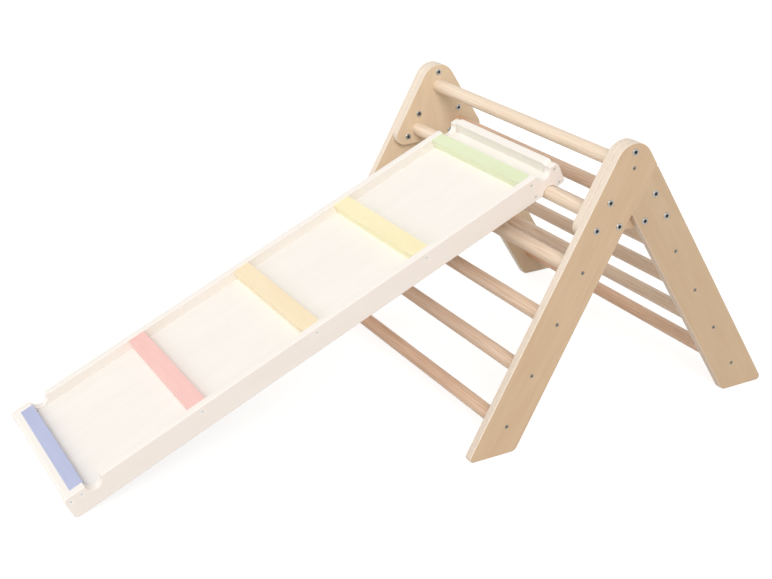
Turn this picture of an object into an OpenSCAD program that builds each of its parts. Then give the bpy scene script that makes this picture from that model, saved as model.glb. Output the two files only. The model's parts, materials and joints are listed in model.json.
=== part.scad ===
// Children's climbing frame with a ramp.
// Two A-shaped plywood side panels are joined by eleven round rungs, and a ramp
// with cross cleats hangs by open notches on the front rung between the gussets.
// Millimetres. +Z is up and +X runs from the foot of the ramp to the back legs.
// The origin is on the floor, at the middle of the whole footprint.

/* [Side panels] */
// Width of the frame across the outer faces of the side panels
frame_w = 750; // [600:10:900]
// Thickness of the plywood legs
leg_t = 18; // [15:1:24]
// Thickness of the plywood gusset inside each pair of legs
gusset_t = 18; // [14:1:24]
// Width of each leg
leg_w = 90; // [80:1:100]
// Lean of the legs from the vertical, in degrees
leg_lean = 30.4; // [28:0.1:33]
// Height of the top rung's axis above the floor
top_rung_z = 514.5; // [495:0.5:600]
// Radius of the round head at the apex
head_r = 42; // [34:1:46]
// Radius of the sharp corner of each foot
toe_r = 8; // [3:0.5:12]
// Radius of the blunt corner of each foot
heel_r = 16; // [5:0.5:30]
// Radius of the two corners that meet in the shoulder notch
shoulder_r = 4; // [1:0.5:6]
// Width of the seam between the front and the back leg
seam_gap = 0.4; // [0.1:0.1:0.8]
// Drop from the top rung's axis to the gusset's bottom edge
gusset_drop = 124.5; // [118:0.5:135]
// Radius of the gusset's two lower corners
gusset_r = 21.5; // [10:0.5:26]

/* [Rungs] */
// Diameter of the rungs
rung_d = 29; // [25:0.5:32]
// Distance between neighbouring rungs along the leg
rung_pitch = 106.2; // [102:0.1:108]

/* [Fasteners] */
// Diameter of the connector bolts' shanks
bolt_d = 6; // [5:0.5:7]
// Diameter of the flat heads of connector bolts and sleeve nuts
bolt_head_d = 13.5; // [11:0.5:16]
// Thickness of those flat heads
bolt_head_h = 1.8; // [1:0.1:3]
// Outer diameter of the sleeve nuts
sleeve_d = 9; // [8:0.5:10]
// Hexagon key size of connector bolts and sleeve nuts, across the corners
bolt_key = 4.6; // [3:0.1:5.2]
// Distance of the head bolt from the top of the round head
head_bolt_inset = 17.3; // [14:0.1:20]
// Distance of the upper leg bolt below the top rung, along the leg
upper_bolt = 75.6; // [70:0.2:80]
// Distance of the lower leg bolt below the top rung, along the leg
lower_bolt = 132; // [129:0.2:134]
// Distance of those two bolts from the leg's outer edge
outer_bolt_inset = 30; // [27:0.5:33]
// Distance of the inner leg bolt below the top rung, along the leg
inner_bolt = 107.2; // [100:0.2:112]
// Distance of the inner leg bolt from the leg's inner edge
inner_bolt_inset = 16; // [13:0.5:19]
// Diameter of the wood screws' shanks
screw_d = 4; // [3:0.5:5]
// Diameter of the rung screws' countersunk heads
screw_head_d = 9; // [8:0.5:10]
// Depth that a rung screw reaches into its rung
screw_bite = 32; // [20:1:40]
// Diameter of the ramp screws' countersunk heads
ramp_screw_head_d = 8; // [7:0.5:9]
// Depth that a ramp screw reaches into its cross piece
ramp_screw_bite = 26; // [15:1:35]
// Hexagon key size of the wood screws, across the corners
screw_key = 3; // [2:0.1:3.4]
// Clearance between a fastener and its hole, on the radius
fastener_fit = 0.1; // [0.05:0.05:0.2]

/* [Ramp] */
// Width of the ramp across its rails
ramp_w = 376; // [300:2:420]
// Length of the rails from the foot end to the rung's axis
ramp_reach = 1075; // [1000:5:1200]
// Length of the hooks beyond the rung's axis
hook_reach = 38; // [37:0.5:44]
// Thickness of the ramp's rails
rail_t = 18; // [15:1:20]
// Height of the ramp's rails
rail_h = 46; // [44:0.5:54]
// Radius of the rails' two corners at the foot
foot_r = 8; // [4:0.5:9]
// Radius of the hooks' upper corners
hook_top_r = 9; // [4:0.5:12]
// Radius of the hooks' lower corners
hook_tip_r = 7; // [3:0.5:10]
// Height of the rails' bottom edge above the rung's axis
hook_lift = 3.1; // [2:0.1:5]
// Radius of the rails' round notches
notch_r = 16.5; // [16.2:0.1:17.5]
// Running gap between the rung and the notch that rests on it
rung_gap = 0.3; // [0.2:0.05:0.5]
// Distance from the foot end to the centre of the lower notch
foot_notch_s = 60.4; // [58:0.2:75]
// Thickness of the ramp's panel
panel_t = 9; // [6:0.5:10]
// Height of the panel's upper face above the rails' bottom edge
panel_top = 26; // [25:0.5:28]
// Depth of the grooves in the rails that hold the panel
groove_d = 4; // [2:0.5:7]
// Clearance of the panel in its grooves
panel_fit = 0.1; // [0.05:0.05:0.3]
// Setback of the end bar and the panel from the rails' foot end
end_setback = 1.5; // [0.5:0.5:4]
// Width of the bare end bar
end_bar_w = 17; // [12:0.5:20]
// Width of the narrow cleats at the foot and at the head of the ramp
narrow_cleat_w = 27; // [20:1:32]
// Width of the three wide cleats
wide_cleat_w = 36; // [27:1:45]
// Thickness of the cleats and the end bar
cleat_t = 19; // [12:0.5:19.5]
// Distance from the foot end to the middle of the first wide cleat
cleat_start = 285.5; // [270:0.5:300]
// Distance back from the rung's axis to the middle of the head cleat
head_cleat_back = 32; // [30:0.5:48]
// Height of the batten under the panel at the head of the ramp
batten_h = 17; // [12:0.5:17]
// Thickness of the lip board
lip_t = 18; // [15:0.5:18]
// Height of the lip board
lip_h = 50; // [47:0.5:60]
// Setback of the lip board from the ends of the hooks
lip_setback = 3; // [1:0.5:3]
// Radius of the lip board's upper corners
lip_r = 8; // [3:0.5:14]
// Height of the lip board's lower screws
lip_screw_low = 6; // [5:0.5:9]
// Height of the lip board's upper screws
lip_screw_high = 37; // [30:0.5:40]

/* [Hidden] */
$fn = 96;

// Rungs on each leg below the gusset, numbered from the top
LEG_RUNGS = [1, 2, 3, 4];
// Drop from the head of a countersunk screw to its shank
screw_head_h = 2.6;
ramp_screw_head_h = 2.2;
// Depth of a screw's hexagon socket, and of a connector bolt's
screw_socket = 1.8;
bolt_socket = 3;
// Wood left between the point of a screw and the bottom of its pilot hole
pilot_spare = 1;
// Length of a screw's point
screw_point = 4;
// Part of the gusset's thickness that a sleeve nut leaves free
sleeve_short = 1;
// Metal left between a sleeve nut's thread and its socket
sleeve_wall = 2;
// Reach of a through cut beyond the faces that it cuts
past = 1;

lean_s = sin(leg_lean);
lean_c = cos(leg_lean);
half_leg = leg_w / 2;
half_w = frame_w / 2;
side_t = leg_t + gusset_t;
rung_r = rung_d / 2;

// Point on the front leg: a distance down from the top rung, and one outwards
function on_leg(down, out = 0) =
  [-down * lean_s - out * lean_c, top_rung_z - down * lean_c + out * lean_s];
// The same point on the back leg
function flip(p) = [-p[0], p[1]];
// Where the front leg's line, moved a inwards, meets the back leg's, moved b outwards
function crossing(a, b) = [(a + b) / (2 * lean_c), top_rung_z + (b - a) / (2 * lean_s)];
// Place where the front leg's line, moved out outwards, stands at a given height
function at_height(z, out) = [(z - top_rung_z) * lean_s / lean_c - out / lean_c, z];
function unit(v) = v / norm(v);

peak = crossing(-half_leg, half_leg);
head_top = crossing(head_r - half_leg, half_leg - head_r)[1] + head_r;
head_bolt = [0, head_top - head_bolt_inset];
leg_bolts = [
  on_leg(upper_bolt, half_leg - outer_bolt_inset), on_leg(lower_bolt, half_leg - outer_bolt_inset),
  on_leg(inner_bolt, inner_bolt_inset - half_leg)
];
all_bolts = concat([head_bolt], leg_bolts, [for (p = leg_bolts) flip(p)]);
top_rung_at = on_leg(0);
gusset_rung_at = on_leg(rung_pitch);
leg_rungs_at = [for (i = LEG_RUNGS) on_leg((i + 1) * rung_pitch)];
outer_screws = concat([top_rung_at], leg_rungs_at, [for (p = leg_rungs_at) flip(p)]);

// Slope of the ramp with the rounded foot of its rails on the floor
foot_x = ramp_reach - foot_r;
foot_z = hook_lift + foot_r;
ramp_tilt = asin((gusset_rung_at[1] - foot_r) / norm([foot_x, foot_z])) + atan2(foot_z, foot_x);
rail_len = ramp_reach + hook_reach;
half_ramp = ramp_w / 2;
inner_ramp = ramp_w - 2 * rail_t;
hook_notch_n = -hook_lift - (notch_r - rung_r - rung_gap);
lip_s = rail_len - lip_setback - lip_t;
cleat_mid = panel_top + cleat_t / 2;
end_bar_mid = end_setback + end_bar_w / 2;
blue_mid = end_setback + end_bar_w + narrow_cleat_w / 2;
green_mid = ramp_reach - head_cleat_back;
cleat_pitch = (green_mid - cleat_start) / 3;
rail_screws = [
  [end_bar_mid, cleat_mid], [blue_mid, cleat_mid],
  for (i = [0:3]) [cleat_start + i * cleat_pitch, cleat_mid],
  [green_mid, batten_h / 2],
  [lip_s + lip_t / 2, lip_screw_low], [lip_s + lip_t / 2, lip_screw_high]
];

// Shift that brings the middle of the footprint to the origin
ramp_end_x = gusset_rung_at[0] - foot_x * cos(ramp_tilt)
  - (hook_lift + rail_h - foot_r) * sin(ramp_tilt) - foot_r;
back_end_x = -at_height(toe_r, half_leg - toe_r)[0] + toe_r;
shift_x = -(ramp_end_x + back_end_x) / 2;

ply_colour = [0.87, 0.77, 0.64];
rung_colour = [0.91, 0.80, 0.67];
zinc_colour = [0.62, 0.64, 0.66];
limed_colour = [0.96, 0.93, 0.89];

// What lies between a sharp corner and its rounding
module corner_waste(before, corner, after, r) {
  u = unit(before - corner);
  v = unit(after - corner);
  inwards = unit(u + v);
  half = acos(u * v) / 2;
  centre = corner + inwards * r / sin(half);
  difference() {
    polygon([
      corner + u * r / tan(half), corner - inwards * past,
      corner + v * r / tan(half), centre
    ]);
    translate(centre) circle(r);
  }
}

// A convex outline with one radius for each corner; 0 leaves a corner sharp
module rounded(points, radii) {
  last = len(points) - 1;
  difference() {
    polygon(points);
    for (i = [0:last]) {
      if (radii[i] > 0) {
        corner_waste(points[i == 0 ? last : i - 1], points[i],
          points[i == last ? 0 : i + 1], radii[i]);
      }
    }
  }
}

// The object's own frame
module placed() {
  translate([shift_x, 0, 0]) children();
}

// The right-hand side, as a mirror image of the left-hand one
module mirrored(is_right) {
  mirror([0, is_right ? 1 : 0, 0]) children();
}

// A plate cut from an outline in the x-z plane, with its outer face at y = y_out
module plate(y_out, t) {
  translate([0, y_out, 0]) rotate([90, 0, 0]) linear_extrude(t) children();
}

// Children on an outer face at y = y_out, with their +Z pointing out of it
module on_face(points, y_out) {
  for (p = points) translate([p[0], y_out, p[1]]) rotate([-90, 0, 0]) children();
}

// Hexagonal key socket that opens at z = 0
module socket(across, depth) {
  translate([0, 0, -depth]) cylinder(d = across, h = depth + past, $fn = 6);
}

// Countersunk wood screw with the top of its head at z = 0
module wood_screw(length, head_d, head_h) {
  difference() {
    union() {
      translate([0, 0, -head_h]) cylinder(d1 = screw_d, d2 = head_d, h = head_h);
      translate([0, 0, -length + screw_point]) cylinder(d = screw_d, h = length - screw_point);
      translate([0, 0, -length]) cylinder(d1 = 0.6, d2 = screw_d, h = screw_point);
    }
    socket(screw_key, screw_socket);
  }
}

// Hole and countersink for such a screw
module screw_hole(length, head_d, head_h) {
  translate([0, 0, -length - pilot_spare])
    cylinder(d = screw_d + 2 * fastener_fit, h = length + pilot_spare + past);
  translate([0, 0, -head_h])
    cylinder(d1 = screw_d + 2 * fastener_fit, d2 = head_d + 2 * fastener_fit, h = head_h);
}

// Connector bolt with its flat head on the face at z = 0
module connector_bolt() {
  difference() {
    union() {
      cylinder(d = bolt_head_d, h = bolt_head_h);
      translate([0, 0, -side_t + sleeve_short + sleeve_wall + bolt_socket + pilot_spare])
        cylinder(d = bolt_d, h = side_t - sleeve_short - sleeve_wall - bolt_socket - pilot_spare + past);
    }
    translate([0, 0, bolt_head_h]) socket(bolt_key, bolt_socket);
  }
}

// Sleeve nut that takes the bolt, with its flat head under the face at z = -side_t
module sleeve_nut() {
  difference() {
    union() {
      translate([0, 0, -side_t - bolt_head_h]) cylinder(d = bolt_head_d, h = bolt_head_h);
      translate([0, 0, -side_t - past])
        cylinder(d = sleeve_d, h = gusset_t - sleeve_short + past);
    }
    translate([0, 0, -side_t + sleeve_wall + bolt_socket - bolt_head_h])
      cylinder(d = bolt_d + 2 * fastener_fit, h = side_t);
    translate([0, 0, -side_t - bolt_head_h]) mirror([0, 0, 1]) socket(bolt_key, bolt_socket);
  }
}

// Leg bolts and rung screws drilled through a leg
module leg_holes(bolts, screws) {
  on_face(bolts, half_w) translate([0, 0, -side_t])
    cylinder(d = bolt_d + 2 * fastener_fit, h = side_t + past);
  on_face(screws, half_w) screw_hole(side_t, screw_head_d, screw_head_h);
}

module front_leg(is_right) {
  color(ply_colour) placed() mirrored(is_right) difference() {
    plate(half_w, leg_t) rounded(
      [at_height(0, half_leg), at_height(0, -half_leg), crossing(half_leg, half_leg), peak],
      [toe_r, heel_r, shoulder_r, head_r]);
    leg_holes(concat([head_bolt], leg_bolts), concat([top_rung_at], leg_rungs_at));
  }
}

module back_leg(is_right) {
  seam = half_leg + seam_gap;
  color(ply_colour) placed() mirrored(is_right) difference() {
    plate(half_w, leg_t) rounded(
      [flip(at_height(0, -half_leg)), flip(at_height(0, half_leg)),
       crossing(seam, half_leg), crossing(seam, -half_leg)],
      [heel_r, toe_r, shoulder_r, 0]);
    leg_holes([for (p = leg_bolts) flip(p)], [for (p = leg_rungs_at) flip(p)]);
  }
}

module gusset(is_right) {
  foot = at_height(top_rung_z - gusset_drop, half_leg);
  color(ply_colour) placed() mirrored(is_right) difference() {
    plate(half_w - leg_t, gusset_t)
      rounded([foot, flip(foot), peak], [gusset_r, gusset_r, head_r]);
    on_face(all_bolts, half_w - side_t - past)
      cylinder(d = sleeve_d + 2 * fastener_fit, h = side_t);
    on_face([top_rung_at], half_w - side_t - past)
      cylinder(d = screw_d + 2 * fastener_fit, h = side_t);
    on_face([gusset_rung_at, flip(gusset_rung_at)], half_w - leg_t)
      screw_hole(side_t, screw_head_d, screw_head_h);
  }
}

// A rung between two faces that stand wall_t inside the frame's width
module rung(at, wall_t) {
  length = frame_w - 2 * wall_t;
  color(rung_colour) placed() translate([at[0], 0, at[1]]) rotate([90, 0, 0]) difference() {
    cylinder(r = rung_r, h = length, center = true);
    for (end = [0, 1]) mirror([0, 0, end])
      translate([0, 0, length / 2 - screw_bite - pilot_spare])
        cylinder(d = screw_d + 2 * fastener_fit, h = screw_bite + pilot_spare + past);
  }
}

module connector_bolts(is_right) {
  color(zinc_colour) placed() mirrored(is_right) on_face(all_bolts, half_w) connector_bolt();
}

module sleeve_nuts(is_right) {
  color(zinc_colour) placed() mirrored(is_right) on_face(all_bolts, half_w) sleeve_nut();
}

module rung_screws(is_right) {
  color(zinc_colour) placed() mirrored(is_right) {
    on_face([top_rung_at], half_w) wood_screw(side_t + screw_bite, screw_head_d, screw_head_h);
    on_face([for (i = [1:len(outer_screws) - 1]) outer_screws[i]], half_w)
      wood_screw(leg_t + screw_bite, screw_head_d, screw_head_h);
  }
}

module gusset_screws(is_right) {
  color(zinc_colour) placed() mirrored(is_right)
    on_face([gusset_rung_at, flip(gusset_rung_at)], half_w - leg_t)
      wood_screw(gusset_t + screw_bite, screw_head_d, screw_head_h);
}

// The ramp's own frame: x along the rails from their foot end, z up from their bottom edge
module on_ramp() {
  placed() translate([gusset_rung_at[0], 0, gusset_rung_at[1]]) rotate([0, -ramp_tilt, 0])
    translate([-ramp_reach, 0, hook_lift]) children();
}

module ramp_rail(is_right) {
  color(limed_colour) on_ramp() mirrored(is_right) difference() {
    plate(half_ramp, rail_t) difference() {
      rounded([[0, 0], [rail_len, 0], [rail_len, rail_h], [0, rail_h]],
        [foot_r, hook_tip_r, hook_top_r, foot_r]);
      for (p = [[foot_notch_s, rail_h], [ramp_reach, rail_h], [ramp_reach, hook_notch_n]])
        translate(p) circle(notch_r);
    }
    translate([end_setback - panel_fit, half_ramp - rail_t - past,
      panel_top - panel_t - panel_fit])
      cube([lip_s - end_setback + 2 * panel_fit, groove_d + panel_fit + past,
        panel_t + 2 * panel_fit]);
    on_face(rail_screws, half_ramp)
      screw_hole(rail_t, ramp_screw_head_d, ramp_screw_head_h);
  }
}

module ramp_panel() {
  width = inner_ramp + 2 * groove_d;
  color(limed_colour) on_ramp() translate([end_setback, -width / 2, panel_top - panel_t])
    cube([lip_s - end_setback, width, panel_t]);
}

// Pilot holes in both ends of a cross piece of the ramp
module cross_holes(points) {
  for (side = [0, 1]) mirror([0, side, 0]) on_face(points, inner_ramp / 2)
    translate([0, 0, -ramp_screw_bite - pilot_spare])
      cylinder(d = screw_d + 2 * fastener_fit, h = ramp_screw_bite + pilot_spare + past);
}

// A square-edged bar between the rails, screwed from both sides at its middle
module cross_bar(mid, width, low, height) {
  on_ramp() difference() {
    translate([mid - width / 2, -inner_ramp / 2, low]) cube([width, inner_ramp, height]);
    cross_holes([[mid, low + height / 2]]);
  }
}

module cleat(mid, width) {
  cross_bar(mid, width, panel_top, cleat_t);
}

// The bare bar, rounded at the foot end as the rails are
module end_bar() {
  right = end_setback + end_bar_w;
  top = panel_top + cleat_t;
  on_ramp() difference() {
    plate(inner_ramp / 2, inner_ramp)
      rounded([[end_setback, panel_top], [right, panel_top], [right, top], [end_setback, top]],
        [0, 0, 0, foot_r - end_setback]);
    cross_holes([[end_bar_mid, cleat_mid]]);
  }
}

module ramp_lip_board() {
  half = inner_ramp / 2;
  color(limed_colour) on_ramp() difference() {
    translate([lip_s, 0, 0]) rotate([90, 0, 90]) linear_extrude(lip_t)
      rounded([[-half, 0], [half, 0], [half, lip_h], [-half, lip_h]], [0, 0, lip_r, lip_r]);
    cross_holes([for (n = [lip_screw_low, lip_screw_high]) [lip_s + lip_t / 2, n]]);
  }
}

module ramp_screws(is_right) {
  color(zinc_colour) on_ramp() mirrored(is_right) on_face(rail_screws, half_ramp)
    wood_screw(rail_t + ramp_screw_bite, ramp_screw_head_d, ramp_screw_head_h);
}

front_leg(false);  // front_leg_left
front_leg(true);  // front_leg_right
back_leg(false);  // back_leg_left
back_leg(true);  // back_leg_right
gusset(false);  // gusset_left
gusset(true);  // gusset_right
rung(top_rung_at, side_t);  // top_rung
rung(gusset_rung_at, side_t);  // front_gusset_rung
rung(flip(gusset_rung_at), side_t);  // back_gusset_rung
rung(leg_rungs_at[0], leg_t);  // front_rung_1
rung(leg_rungs_at[1], leg_t);  // front_rung_2
rung(leg_rungs_at[2], leg_t);  // front_rung_3
rung(leg_rungs_at[3], leg_t);  // front_rung_4
rung(flip(leg_rungs_at[0]), leg_t);  // back_rung_1
rung(flip(leg_rungs_at[1]), leg_t);  // back_rung_2
rung(flip(leg_rungs_at[2]), leg_t);  // back_rung_3
rung(flip(leg_rungs_at[3]), leg_t);  // back_rung_4
connector_bolts(false);  // connector_bolts_left
connector_bolts(true);  // connector_bolts_right
sleeve_nuts(false);  // sleeve_nuts_left
sleeve_nuts(true);  // sleeve_nuts_right
rung_screws(false);  // rung_screws_left
rung_screws(true);  // rung_screws_right
gusset_screws(false);  // gusset_screws_left
gusset_screws(true);  // gusset_screws_right
ramp_rail(false);  // ramp_rail_left
ramp_rail(true);  // ramp_rail_right
ramp_panel();
color(limed_colour) end_bar();  // ramp_end_bar
color([0.74, 0.78, 0.90]) cleat(blue_mid, narrow_cleat_w);  // blue_cleat
color([0.97, 0.80, 0.77]) cleat(cleat_start, wide_cleat_w);  // red_cleat
color([1.00, 0.89, 0.76]) cleat(cleat_start + cleat_pitch, wide_cleat_w);  // orange_cleat
color([1.00, 0.96, 0.80]) cleat(cleat_start + 2 * cleat_pitch, wide_cleat_w);  // yellow_cleat
color([0.90, 0.94, 0.79]) cleat(green_mid, narrow_cleat_w);  // green_cleat
color(limed_colour) cross_bar(green_mid, narrow_cleat_w, 0, batten_h);  // ramp_batten
ramp_lip_board();
ramp_screws(false);  // ramp_screws_left
ramp_screws(true);  // ramp_screws_right
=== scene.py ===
"""Looks of a wooden climbing frame with a hooked ramp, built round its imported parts.

Lengths are in millimetres until a mesh is made, which is in metres in the row's frame.
"""

import json
import logging
import math
from collections.abc import Callable, Iterable, Mapping, Sequence
from dataclasses import dataclass, replace
from enum import Enum
from typing import Any

import bmesh
import bpy
from mathutils import Matrix, Vector


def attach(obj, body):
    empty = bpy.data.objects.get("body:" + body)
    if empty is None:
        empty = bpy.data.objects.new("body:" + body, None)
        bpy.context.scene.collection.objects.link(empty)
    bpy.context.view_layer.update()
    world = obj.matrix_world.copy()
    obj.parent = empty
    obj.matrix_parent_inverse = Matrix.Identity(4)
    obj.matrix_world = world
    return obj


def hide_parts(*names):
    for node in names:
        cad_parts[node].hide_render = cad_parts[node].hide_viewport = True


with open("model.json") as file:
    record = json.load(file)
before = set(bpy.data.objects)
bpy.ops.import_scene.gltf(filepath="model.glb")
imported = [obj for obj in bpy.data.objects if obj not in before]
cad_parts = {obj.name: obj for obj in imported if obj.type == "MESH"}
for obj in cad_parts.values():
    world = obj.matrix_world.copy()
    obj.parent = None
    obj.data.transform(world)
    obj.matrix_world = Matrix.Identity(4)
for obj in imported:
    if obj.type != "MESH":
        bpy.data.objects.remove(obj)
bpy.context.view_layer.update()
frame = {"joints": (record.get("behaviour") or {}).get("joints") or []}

LOG = logging.getLogger("climbing_frame")

MM = 0.001
ARC_STEP = 6.0  # degrees
NOTCH_STEPS = 30
HOLE_STEPS = 32
ARRIS_STEPS = 4
TINY = 1e-9
PLAY = 0.1  # between a fastener and its hole
FASTENER_TURN = 0.7  # radians from one fastener to the next, so that their sockets differ
PHOTO_WIDTH = 772
X, Y, Z = Vector((1, 0, 0)), Vector((0, 1, 0)), Vector((0, 0, 1))

Point = tuple[float, float]
Triple = tuple[float, float, float]
Colour = Triple
Mesh = bmesh.types.BMesh
Loop = list[bmesh.types.BMVert]
Piece = bpy.types.Object
Material = bpy.types.Material
Socket = bpy.types.NodeSocket


class Named(Enum):
    """Options whose names are a part of the nodes' names."""

    @property
    def word(self) -> str:
        """The option's part of a node's name."""
        return self.name.lower()


class Side(Named):
    """The two side panels, by the sign of y on which they stand."""

    LEFT = 1
    RIGHT = -1


class Leg(Named):
    """The two legs of a side, by the sign of x towards which their feet stand."""

    FRONT = -1
    BACK = 1


class Slot(Named):
    """The record's material slots."""

    PLY = "birch_ply"
    RUNG = "rung_wood"
    ZINC = "zinc_steel"
    LIMED = "limed_wood"
    BLUE = "blue_stain"
    RED = "red_stain"
    ORANGE = "orange_stain"
    YELLOW = "yellow_stain"
    GREEN = "green_stain"


# ---- outlines ----


def unit(v: Vector) -> Vector:
    """v at length one."""
    return v / v.length


def mirrored(points: Iterable[Point]) -> list[Point]:
    """The points mirrored in the upright plane through the top rung."""
    return [(-x, z) for x, z in points]


def on_circle(centre: Vector, radius: float, first: float, sweep: float, count: int) -> list[Vector]:
    """Points on a circle.

    Args:
        centre: its centre.
        radius: its radius.
        first: the first point's angle.
        sweep: the turn from the first point to the last.
        count: the number of steps.

    Returns:
        count + 1 points.
    """
    angles = [first + sweep * k / count for k in range(count + 1)]
    return [centre + radius * Vector((math.cos(a), math.sin(a))) for a in angles]


def arc(centre: Vector, start: Vector, end: Vector) -> list[Vector]:
    """Points on the shorter circular arc between two points.

    Args:
        centre: the circle's centre.
        start: the arc's first point.
        end: the arc's last point.

    Returns:
        The arc's points, ends included.
    """
    a0 = math.atan2(start.y - centre.y, start.x - centre.x)
    a1 = math.atan2(end.y - centre.y, end.x - centre.x)
    sweep = (a1 - a0 + math.pi) % (2 * math.pi) - math.pi
    count = max(2, math.ceil(abs(math.degrees(sweep)) / ARC_STEP))
    return on_circle(centre, (start - centre).length, a0, sweep, count)


def rounded_outline(points: Sequence[Point], radii: Sequence[float]) -> list[Vector]:
    """Rounds the corners of a convex outline.

    Args:
        points: the sharp corners, in order.
        radii: one radius for each corner; 0 keeps it sharp.

    Returns:
        The outline's points.
    """
    made: list[Vector] = []
    for i, radius in enumerate(radii):
        corner = Vector(points[i])
        if radius <= 0:
            made.append(corner)
            continue
        u = unit(Vector(points[i - 1]) - corner)
        v = unit(Vector(points[(i + 1) % len(points)]) - corner)
        half = u.angle(v) / 2
        centre = corner + unit(u + v) * (radius / math.sin(half))
        reach = radius / math.tan(half)
        made += arc(centre, corner + u * reach, corner + v * reach)
    return made


def bitten(outline: Sequence[Vector], centre: Vector, radius: float) -> list[Vector]:
    """Cuts a round notch into one straight edge of an anticlockwise outline.

    Args:
        outline: the outline's points.
        centre: the notch's centre.
        radius: the notch's radius.

    Returns:
        The outline, with the same number of points in the notch whatever its radius.
    """
    made: list[Vector] = []
    for a, b in zip(outline, [*outline[1:], outline[0]]):
        made.append(a)
        d, f = b - a, a - centre
        qa, qb, qc = d.dot(d), 2 * f.dot(d), f.dot(f) - radius * radius
        root = qb * qb - 4 * qa * qc
        if qa < TINY or root <= 0:
            continue
        near, far = ((-qb + s * math.sqrt(root)) / (2 * qa) for s in (-1, 1))
        if near < 0 or far > 1:
            continue
        start, end = a + d * near - centre, a + d * far - centre
        first = math.atan2(start.y, start.x)
        sweep = -(first - math.atan2(end.y, end.x)) % (-2 * math.pi)
        made += on_circle(centre, radius, first, sweep, NOTCH_STEPS)
    return made


@dataclass(frozen=True)
class Outline:
    """A convex outline with rounded corners and round notches in its edges.

    The arris is a share of the board's own at each point, so that an edge can be left crisp.
    """

    corners: Sequence[Point]
    radii: Sequence[float]
    notches: Sequence[tuple[Point, float]] = ()
    share: Callable[[Vector], float] | None = None

    def ring(self, inset: float) -> list[tuple[Vector, float]]:
        """The outline moved inwards.

        Args:
            inset: how far, where the arris is whole.

        Returns:
            Each point, and the share of the arris that it has.
        """
        points = rounded_outline(self.corners, self.radii)
        shares = [self.share(p) if self.share else 1.0 for p in points]
        moved = []
        for i, p in enumerate(points):
            before, after = unit(p - points[i - 1]), unit(points[(i + 1) % len(points)] - p)
            n1, n2 = Vector((-before.y, before.x)), Vector((-after.y, after.x))
            moved.append(p + (n1 + n2) / (1 + n1.dot(n2)) * inset * shares[i])
        for centre, radius in self.notches:
            moved = bitten(moved, Vector(centre), radius + inset)
        if self.notches:
            shares = [1.0] * len(moved)
        return list(zip(moved, shares))


def oblong(first: float, last: float, height: float, radii: Sequence[float] = (0.0, 0.0, 0.0, 0.0),
           notches: Sequence[tuple[Point, float]] = ()) -> Outline:
    """A rectangle that stands on its u axis, with its radii from the first lower corner on."""
    return Outline([(first, 0), (last, 0), (last, height), (first, height)], radii, notches)


# ---- meshes ----


@dataclass(frozen=True)
class Place:
    """Where a piece lies: its own axes u, v and w, in the row's frame, in millimetres."""

    origin: Vector
    u: Vector
    v: Vector
    w: Vector

    def point(self, u: float, v: float, w: float) -> Vector:
        """The place of one of the piece's points, in metres."""
        return (self.origin + self.u * u + self.v * v + self.w * w) * MM

    def turned(self, angle: float) -> "Place":
        """The same place, with u turned towards v by an angle in radians."""
        c, s = math.cos(angle), math.sin(angle)
        return Place(self.origin, self.u * c + self.v * s, self.v * c - self.u * s, self.w)

    def seat(self, p: Point, outwards: bool = True) -> "Place":
        """A fastener's seat at a point of the face w = 0, with its own w out of the wood."""
        return Place(self.origin + self.u * p[0] + self.v * p[1], self.u, self.v,
                     -self.w if outwards else self.w)


def dress(piece: Piece, body: str, node: str, material: Material) -> None:
    """Gives a piece its body, the CAD node that it stands for and its finish.

    Args:
        piece: the new piece.
        body: the CAD body that it rides on.
        node: the CAD node that it replaces.
        material: the finish.
    """
    piece.data.materials.append(material)
    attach(piece, body)
    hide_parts(node)
    LOG.info("%s rides on %s", piece.name, body)


@dataclass(frozen=True)
class Hole:
    """A hole through a board, countersunk from its outer face where it has a mouth."""

    centre: Point
    radius: float
    mouth_r: float = 0.0
    depth: float = 0.0

    def levels(self, thickness: float) -> list[tuple[float, float]]:
        """The radii and depths of its loops, from the outer face to the inner one."""
        sunk = [(self.mouth_r, 0.0), (self.radius, self.depth)] if self.mouth_r else [(self.radius, 0.0)]
        return [*sunk, (self.radius, thickness)]


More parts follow.
